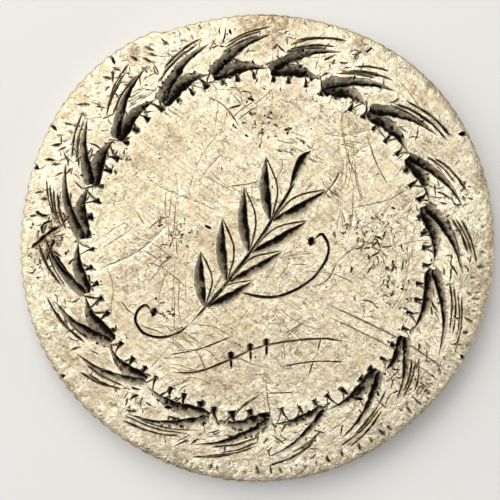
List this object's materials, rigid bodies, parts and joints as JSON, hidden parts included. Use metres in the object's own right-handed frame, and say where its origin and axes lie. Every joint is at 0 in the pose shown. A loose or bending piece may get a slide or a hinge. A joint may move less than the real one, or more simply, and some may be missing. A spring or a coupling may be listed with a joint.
{
  "type": "engraved token",
  "caption": "Small round silver token, front planed flat and hand-engraved with a leaf wreath and a sprig, reeded edge, rimmed back.",
  "frame": {"origin": "centre of the back rim's plane, which the token rests on", "axes": "+Z from the back to the engraved front, +Y to the top of the engraved design, +X to its right"},
  "size_m": [0.0178, 0.0178, 0.0011],
  "materials": {
    "silver": "worn warm silver, dark tarnish in the cuts"
  },
  "bodies": {
    "root": {"token": "silver"}
  },
  "joints": []
}
